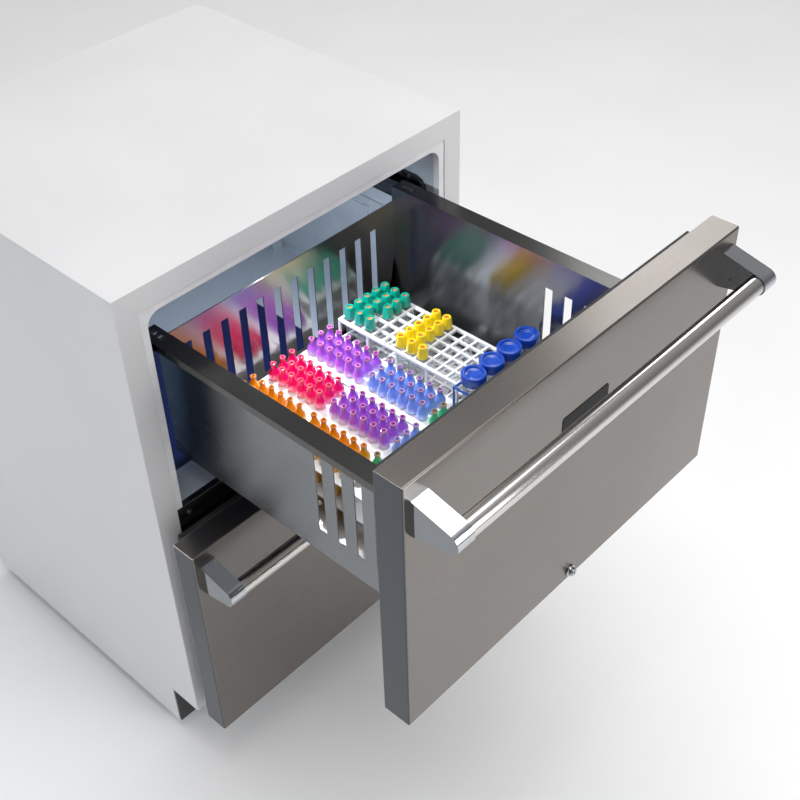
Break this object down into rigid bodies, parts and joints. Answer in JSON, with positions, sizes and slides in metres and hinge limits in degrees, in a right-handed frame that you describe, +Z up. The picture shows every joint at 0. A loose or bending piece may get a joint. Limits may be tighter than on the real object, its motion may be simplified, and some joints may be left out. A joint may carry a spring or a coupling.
{
  "type": "undercounter laboratory refrigerator",
  "caption": "Undercounter laboratory refrigerator: white cabinet, stainless drawer fronts with tubular handles, upper drawer pulled out and loaded with racked tubes and vials.",
  "frame": {"origin": "on the floor, under the centre of the whole outline with the upper drawer pulled out as stored", "axes": "+Z up, front of the cabinet faces -Y, +X to the right seen from behind the cabinet looking out; the drawers pull out along -Y"},
  "size_m": [0.6, 1.0642, 0.87],
  "materials": {
    "white_enamel": "satin powder coat",
    "galvanised": "zinc-coated sheet",
    "black_satin": "satin",
    "trim_white": "satin",
    "gloss_black": "gloss",
    "screw_steel": "zinc-plated",
    "liner_white": "soft gloss",
    "foam": "foamed",
    "duct_plastic": "satin",
    "coil_metal": "plain",
    "fan_black": "matt",
    "lamp_lens": "frosted",
    "inlet_black": "matt",
    "slide_black": "black zinc",
    "foot_black": "matt",
    "slide_steel": "dark zinc",
    "display_glass": "gloss",
    "bright_chrome": "polished",
    "rack_white": "satin",
    "vial_amber": "gloss",
    "vial_red": "gloss",
    "vial_purple": "gloss",
    "vial_blue": "gloss",
    "vial_green": "gloss",
    "stopper_green": "satin",
    "stopper_yellow": "satin",
    "wire_blue": "coated",
    "brushed_stainless": "directional brushed",
    "panel_grey": "satin",
    "gasket_black": "matt",
    "brushed_bar": "fine brushed",
    "box_stainless": "bright brushed"
  },
  "bodies": {
    "cabinet": {"cabinet_side_left": "white_enamel", "cabinet_side_right": "white_enamel", "cabinet_top": "white_enamel", "cabinet_sill": "white_enamel", "cabinet_back": "galvanised", "base_pan": "galvanised", "kick_grille": "black_satin", "opening_trims": "trim_white", "mullion": "gloss_black", "cabinet_screws": "screw_steel", "upper_liner": "liner_white", "lower_liner": "liner_white", "insulation": "foam", "wall_ducts": "duct_plastic", "evaporator_cover": "duct_plastic", "evaporator_coil": "coil_metal", "interior_light": "lamp_lens", "lock_strike": "screw_steel", "compressor": "black_satin", "condenser_coil": "coil_metal", "condenser_fan_motor": "galvanised", "power_inlet": "inlet_black", "slide_tracks": "slide_black"},
    "upper_drawer": {"upper_front_skin": "brushed_stainless", "upper_front_panel": "panel_grey", "upper_gasket": "gasket_black", "upper_handle_brackets": "bright_chrome", "upper_handle_bar": "brushed_bar", "upper_box_sides": "box_stainless", "upper_box_pan": "box_stainless", "upper_slide_caps": "slide_steel", "display_window": "display_glass", "lock_barrel": "bright_chrome", "vial_racks": "rack_white", "vials_amber": "vial_amber", "vials_red": "vial_red", "vials_purple": "vial_purple", "vials_blue": "vial_blue", "vials_green": "vial_green", "tube_rack": "rack_white", "tubes_green": "stopper_green", "tubes_yellow": "stopper_yellow", "bottle_rack": "wire_blue"},
    "lower_drawer": {"lower_front_skin": "brushed_stainless", "lower_front_panel": "panel_grey", "lower_gasket": "gasket_black", "lower_handle_brackets": "bright_chrome", "lower_handle_bar": "brushed_bar", "lower_box_sides": "box_stainless", "lower_box_pan": "box_stainless", "lower_slide_caps": "slide_steel"},
    "lock_cylinder": {"lock_plug": "bright_chrome"},
    "upper_runners": {"upper_slide_runners": "slide_steel"},
    "lower_runners": {"lower_slide_runners": "slide_steel"},
    "evaporator_fan": {"evaporator_fan": "fan_black"},
    "condenser_fan": {"condenser_fan": "fan_black"},
    "foot_front_left": {"foot_front_left": "foot_black"},
    "foot_front_right": {"foot_front_right": "foot_black"},
    "foot_rear_left": {"foot_rear_left": "foot_black"},
    "foot_rear_right": {"foot_rear_right": "foot_black"}
  },
  "joints": [
    {"name": "upper_drawer_slide", "type": "slide", "parent": "cabinet", "child": "upper_drawer", "axis": [0, -1, 0], "range_m": [-0.382, 0.018]},
    {"name": "upper_runner_slide", "type": "slide", "parent": "cabinet", "child": "upper_runners", "axis": [0, -1, 0], "range_m": [-0.1915, 0.0095]},
    {"name": "lower_drawer_slide", "type": "slide", "parent": "cabinet", "child": "lower_drawer", "axis": [0, -1, 0], "range_m": [0, 0.27]},
    {"name": "lower_runner_slide", "type": "slide", "parent": "cabinet", "child": "lower_runners", "axis": [0, -1, 0], "range_m": [-0.0005, 0.1355]},
    {"name": "lock_turn", "type": "hinge", "parent": "upper_drawer", "child": "lock_cylinder", "pos_m": [0, -0.47015, 0.5041], "axis": [0, -1, 0], "range_deg": [0, 90]},
    {"name": "evaporator_fan_spin", "type": "hinge", "parent": "cabinet", "child": "evaporator_fan", "pos_m": [0.12, 0.43115, 0.66235], "axis": [0, -1, 0], "continuous": true},
    {"name": "condenser_fan_spin", "type": "hinge", "parent": "cabinet", "child": "condenser_fan", "pos_m": [0.107, 0.38215, 0.154], "axis": [0, -1, 0], "continuous": true},
    {"name": "foot_front_left_turn", "type": "hinge", "parent": "cabinet", "child": "foot_front_left", "pos_m": [-0.262, 0.06715, 0], "axis": [0, 0, 1], "continuous": true},
    {"name": "foot_front_right_turn", "type": "hinge", "parent": "cabinet", "child": "foot_front_right", "pos_m": [0.262, 0.06715, 0], "axis": [0, 0, 1], "continuous": true},
    {"name": "foot_rear_left_turn", "type": "hinge", "parent": "cabinet", "child": "foot_rear_left", "pos_m": [-0.262, 0.49715, 0], "axis": [0, 0, 1], "continuous": true},
    {"name": "foot_rear_right_turn", "type": "hinge", "parent": "cabinet", "child": "foot_rear_right", "pos_m": [0.262, 0.49715, 0], "axis": [0, 0, 1], "continuous": true}
  ],
  "couplings": [
    {"joint": "upper_runner_slide", "follows": "upper_drawer_slide", "ratio": 0.5},
    {"joint": "lower_runner_slide", "follows": "lower_drawer_slide", "ratio": 0.5}
  ]
}
